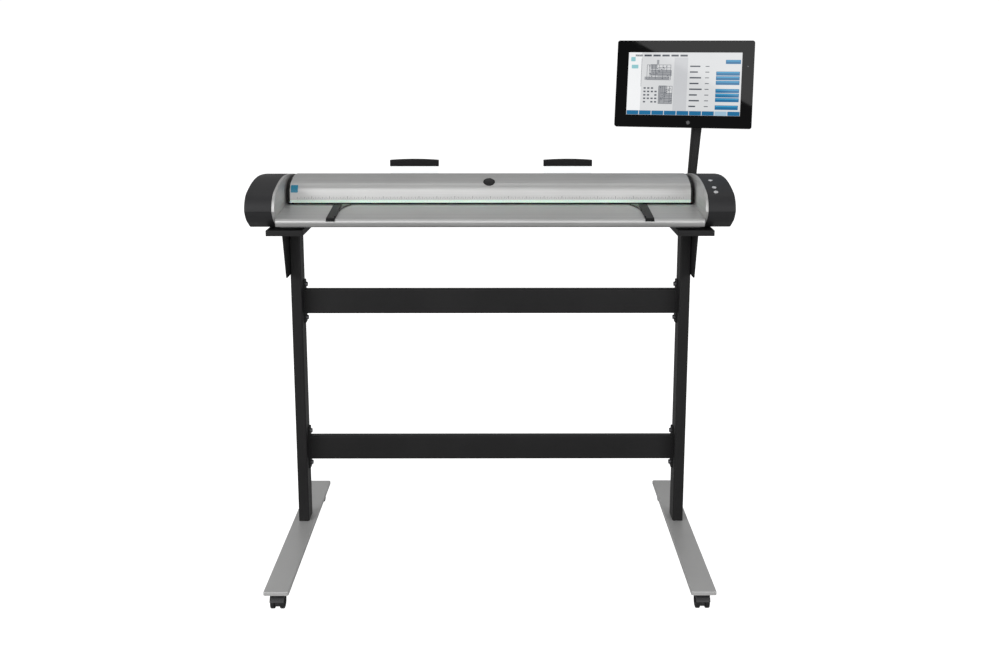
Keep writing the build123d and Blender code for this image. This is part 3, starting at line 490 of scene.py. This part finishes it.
def tile(shape, box, level, corner):
    """Thin plate over a box of the picture, given as left, top, right and bottom shares of it."""
    left, top, right, bottom = box
    low = Vector(((left - 0.5) * ACTIVE[0], (0.5 - bottom) * ACTIVE[1]))
    high = Vector(((right - 0.5) * ACTIVE[0], (0.5 - top) * ACTIVE[1]))
    corner = min(corner, (high.x - low.x) / 2.2, (high.y - low.y) / 2.2)
    outline = []
    centres = ((high.x - corner, high.y - corner), (low.x + corner, high.y - corner),
               (low.x + corner, low.y + corner), (high.x - corner, low.y + corner))
    for quarter, (x, y) in enumerate(centres):
        for step in range(5):
            angle = (quarter + step / 4) * pi / 2
            outline.append((x + corner * cos(angle), y + corner * sin(angle)))
    floor = 0.0 if level == 1 else (level - 0.5) * LAYER
    shape.loft([[(x, y, z) for x, y in outline] for z in (floor, level * LAYER)])


def picture(name, boxes, level, colour, corner=0.0012):
    """Every box of one colour in the picture."""
    keep(lit(name, colour))
    shape = Shape()
    for box in boxes:
        tile(shape, box, level, corner)
    shape.piece(name, "monitor", "lcd", name, place=SCREEN)


def plan(left, top, right, bottom, rooms):
    """Lines of a plan drawing: walls of uneven rooms, some with a door gap, and short fittings."""
    wide, high = right - left, bottom - top
    lines = []
    for i in range(rooms + 1):
        x = left + wide * (i / rooms) ** 1.2
        reach = 1.0 if i in (0, rooms) else 0.45 + 0.5 * (i % 2)
        lines.append((x - 0.0018, top, x + 0.0018, top + high * reach))
        y = top + high * (i / rooms) ** 0.85
        reach = 1.0 if i in (0, rooms) else 0.55 + 0.35 * ((i + 1) % 2)
        lines.append((right - wide * reach, y - 0.003, right, y + 0.003))
    for i in range(rooms * 3):
        x = left + wide * (0.08 + 0.84 * ((i * 0.37) % 1))
        y = top + high * (0.08 + 0.84 * ((i * 0.61) % 1))
        lines.append((x, y - 0.005, x + 0.012, y + 0.005))
    return lines


def user_interface():
    """Generic panels, drawing and keys, with no lettering."""
    picture("ui_ground", [(0, 0, 1, 1)], 1, (0.72, 0.73, 0.74), corner=0.0005)
    picture("ui_side", [(0, 0, 0.12, 0.93)], 2, (0.92, 0.93, 0.94))
    picture("ui_panel", [(0.41, 0.08, 0.53, 0.93)], 2, (0.60, 0.61, 0.63))
    rooms = [(0.20, 0.19, 0.26, 0.27), (0.255, 0.12, 0.275, 0.19), (0.20, 0.285, 0.39, 0.375)]
    rooms += [(0.15, 0.39, 0.37, 0.44), (0.28, 0.53, 0.35, 0.82), (0.35, 0.65, 0.40, 0.82)]
    picture("ui_rooms", rooms, 2, (0.36, 0.37, 0.39), corner=0.0004)
    drawing = plan(0.17, 0.20, 0.38, 0.44, 7) + plan(0.28, 0.54, 0.40, 0.82, 6)
    drawing.append((0.118, 0.10, 0.121, 0.55))
    for i in range(20):
        if i % 7 != 3:
            left, top = 0.145 + 0.033 * (i % 4), 0.56 + 0.055 * (i // 4)
            drawing.append((left, top, left + 0.020, top + 0.025))
    picture("ui_drawing", drawing, 3, (0.13, 0.14, 0.16), corner=0.0)
    dashes = [(0.06 + 0.08 * i, 0.035, 0.125 + 0.08 * i, 0.065) for i in range(6)]
    widths = (0.09, 0.07, 0.10, 0.08, 0.11, 0.07, 0.09, 0.06)
    for i, width in enumerate(widths):
        y = 0.22 + 0.091 * i
        dashes.append((0.55, y - 0.011, 0.55 + width, y + 0.011))
        dashes.append((0.685, y - 0.006, 0.72, y + 0.006))
    picture("ui_dashes", dashes, 2, (0.07, 0.08, 0.10), corner=0.0006)
    keys = [(0.86, 0.115, 0.99, 0.18), (0.78, 0.835, 0.98, 0.905)]
    for top, bottom, rows in ((0.30, 0.52, 3), (0.575, 0.79, 3)):
        pitch = (bottom - top) / rows
        keys += [(0.78, top + pitch * i, 0.985, top + pitch * (i + 0.88)) for i in range(rows)]
    tabs = [(i / 9 + 0.003, 0.932, (i + 1) / 9 - 0.003, 0.998) for i in range(9)]
    light = tabs.pop(7)
    picture("ui_keys", keys + tabs, 3, (0.008, 0.150, 0.33))
    sheen = [(left + 0.006, top + 0.008, right - 0.006, top + 0.026) for left, top, right, bottom in keys]
    picture("ui_sheen", sheen, 4, (0.045, 0.33, 0.58))
    picture("ui_light_tab", [light], 4, (0.34, 0.52, 0.66))
    icons = [(0.022, 0.075, 0.062, 0.145), (0.030, 0.20, 0.090, 0.26)]
    picture("ui_icon", icons, 3, (0.30, 0.60, 0.64), corner=0.002)


def indicator():
    """Small lamp in the middle of the right bezel's width."""
    across = (GLASS_WIDTH - ACTIVE[0]) / 4 + ACTIVE[0] / 2
    profile = ((1.0, 0.0), (1.0, 0.00005), (0.7, 0.00012), (0.2, 0.00015))
    lamp = Shape()
    lamp.loft([[(x + across, y + 0.055, z) for x, y in circle(0.0012 * size, 20)] for size, z in profile])
    keep(lit("indicator", (0.60, 0.62, 0.64), 0.6))
    lamp.piece("indicator", "monitor", "lcd", "indicator", smooth=True, place=SCREEN)


def home_ring():
    """Thin flat ring round the home key."""
    low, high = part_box("home_button")
    key = SCREEN.inverted() @ ((low + high) / 2)
    count = 40
    ring = Shape()
    for radius in (0.0058, 0.0053):
        for z in (0.0, 0.0001):
            ring.vertices += [Vector((x + key.x, y + key.y, z)) for x, y in circle(radius, count)]
    outer_low, outer_high, inner_low, inner_high = (level * count for level in range(4))
    sides = ((outer_low, outer_high), (outer_high, inner_high),
             (inner_high, inner_low), (inner_low, outer_low))
    for i in range(count):
        after = (i + 1) % count
        for first, second in sides:
            ring.faces.append((first + i, first + after, second + after, second + i))
    ring.piece("home_ring", "monitor", "key_grey", "home_key", smooth=True, place=SCREEN)


def bracket_screws():
    """The four screws of the tilt bracket, on the usual 75 mm square."""
    heads = Shape()
    back = SCREEN.to_3x3() @ Vector((0, 0, -1))
    for x in (-BRACKET_HALF, BRACKET_HALF):
        for y in (-BRACKET_HALF, BRACKET_HALF):
            start = SCREEN @ Vector((x, y, -0.2))
            screw(heads, facing(on_surface("tilt_bracket", start, -back), back), 0.0035)
    heads.piece("bracket_screws", "monitor", "bolt_steel", smooth=True)


CONTACT_PITCH = 0.00102
# depth and height of each contact's bends
CONTACT_BEND = ((0.2735, 0.9712), (0.2770, 0.9706), (0.2795, 0.9690), (0.2800, 0.9684))


def network_contacts():
    """Eight bent contacts inside the network socket."""
    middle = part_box("data_ports")[0].x + 0.008
    half, thick = 0.00025, 0.0004
    contacts = Shape()
    for i in range(8):
        x = middle + (i - 3.5) * CONTACT_PITCH
        rings = []
        for y, z in CONTACT_BEND:
            high = z + thick
            rings.append([(x - half, y, high), (x + half, y, high), (x + half, y, z), (x - half, y, z)])
        contacts.loft(rings)
    contacts.piece("network_contacts", "stand", "bolt_steel", "contact_gold")


def usb_tongues():
    """Two tongues in the USB sockets."""
    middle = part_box("data_ports")[1].x - 0.006
    outline = ((-0.0035, 0.2725), (0.0035, 0.2725), (0.0035, 0.2790), (0.0028, 0.2800),
               (-0.0028, 0.2800), (-0.0035, 0.2790))
    half = 0.0006
    tongues = Shape()
    for z in (0.9640, 0.9668):
        tongues.loft([[(middle + x, y, level) for x, y in outline] for level in (z - half, z + half)])
    tongues.piece("usb_tongues", "stand", "white_plate")


badge()
lid_label()
rule()
guide_wing("left")
guide_wing("right")
rear_screws()
user_interface()
indicator()
home_ring()
bracket_screws()
network_contacts()
usb_tongues()


# ---------------------------------------------------------------- floor, lights and camera


def floor():
    """Plain pale floor."""
    half = 14.0
    corners = [(-half, -half, 0), (half, -half, 0), (half, half, 0), (-half, half, 0)]
    mesh = bpy.data.meshes.new("floor")
    mesh.from_pydata(corners, [], [(0, 1, 2, 3)])
    obj = bpy.data.objects.new("floor", mesh)
    bpy.context.scene.collection.objects.link(obj)
    look = grained("floor", (0.46, 0.46, 0.46), 0.8, 0.01, 0.01, (40,) * 3, 0.00002, Specular_IOR_Level=0.1)
    look.set("Emission Color", (1, 1, 1, 1))
    path = look.node("LightPath", {}).outputs
    seen = look.sum(path["Is Camera Ray"], path["Is Transmission Ray"], "MAXIMUM")
    look.set("Emission Strength", look.sum(seen, 1.0, "MULTIPLY"))
    mesh.materials.append(look.material)


def softbox(name, place, target, size, power, roll=0.0):
    light = bpy.data.lights.new(name, "AREA")
    light.shape = "RECTANGLE"
    light.size, light.size_y = size
    light.energy = power
    obj = bpy.data.objects.new(name, light)
    obj.location = place
    aim = (Vector(target) - Vector(place)).to_track_quat("-Z", "Y")
    obj.rotation_euler = (aim @ Quaternion((0, 0, 1), radians(roll))).to_euler()
    bpy.context.scene.collection.objects.link(obj)


BACKDROP = 1.05  # strength that the camera sees
EVEN_LIGHT = 0.35  # strength that falls on the object from every side
BAND_LIGHT = 1.25  # added to it low in front


def surroundings():
    """White backdrop; on the object it throws a dim even light, with a bright band low in front."""
    world = bpy.data.worlds.new("studio")
    bpy.context.scene.world = world
    world.use_nodes = True
    nodes, links = world.node_tree.nodes, world.node_tree.links
    nodes.clear()

    def ramp(value, start, end):
        made = nodes.new("ShaderNodeMapRange")
        made.interpolation_type = "SMOOTHSTEP"
        made.inputs["From Min"].default_value = start
        made.inputs["From Max"].default_value = end
        links.new(value, made.inputs["Value"])
        return made.outputs[0]

    def calculate(operation, a, b):
        made = nodes.new("ShaderNodeMath")
        made.operation = operation
        for socket, value in zip(made.inputs, (a, b)):
            if isinstance(value, float):
                socket.default_value = value
            else:
                links.new(value, socket)
        return made.outputs[0]

    def shine(strength):
        made = nodes.new("ShaderNodeBackground")
        made.inputs["Color"].default_value = (1, 1, 1, 1)
        if isinstance(strength, float):
            made.inputs["Strength"].default_value = strength
        else:
            links.new(strength, made.inputs["Strength"])
        return made.outputs[0]

    way = nodes.new("ShaderNodeTexCoord").outputs["Generated"]
    split = nodes.new("ShaderNodeSeparateXYZ")
    links.new(way, split.inputs[0])
    band = calculate("MULTIPLY", ramp(split.outputs["Y"], 0.2, -0.9), ramp(split.outputs["Z"], 0.50, 0.05))
    glow = calculate("MULTIPLY_ADD", band, BAND_LIGHT)
    glow.node.inputs[2].default_value = EVEN_LIGHT
    path = nodes.new("ShaderNodeLightPath").outputs
    seen = calculate("MAXIMUM", path["Is Camera Ray"], path["Is Transmission Ray"])
    mix = nodes.new("ShaderNodeMixShader")
    out = nodes.new("ShaderNodeOutputWorld")
    links.new(seen, mix.inputs[0])
    links.new(shine(glow), mix.inputs[1])
    links.new(shine(BACKDROP), mix.inputs[2])
    links.new(mix.outputs[0], out.inputs[0])


def camera():
    """Standing in front of the scanner, a little right of its middle, looking slightly down."""
    data = bpy.data.cameras.new("camera")
    data.sensor_width = 36.0
    data.lens = 38.03
    data.shift_y = -0.10
    data.clip_end = 60.0
    obj = bpy.data.objects.new("camera", data)
    obj.location = (0.019, -2.908, 1.448)
    obj.rotation_euler = (radians(79.95), 0, radians(-0.15))
    bpy.context.scene.collection.objects.link(obj)
    bpy.context.scene.camera = obj


floor()
surroundings()
softbox("key", (-3.4, -2.8, 2.3), (0, 0, 0.9), (2.2, 1.8), 80)
softbox("fill", (3.2, -2.8, 1.9), (0.2, 0, 0.9), (1.6, 1.6), 40)
softbox("top", (0.0, 0.6, 4.0), (0, 0.1, 0.9), (3.5, 1.2), 12)
softbox("window", (-0.278, -2.586, 2.810), (0.761, 0.398, 1.554), (1.05, 0.42), 7.7, roll=-26.8)
camera()
bpy.context.scene.view_settings.view_transform = "Standard"
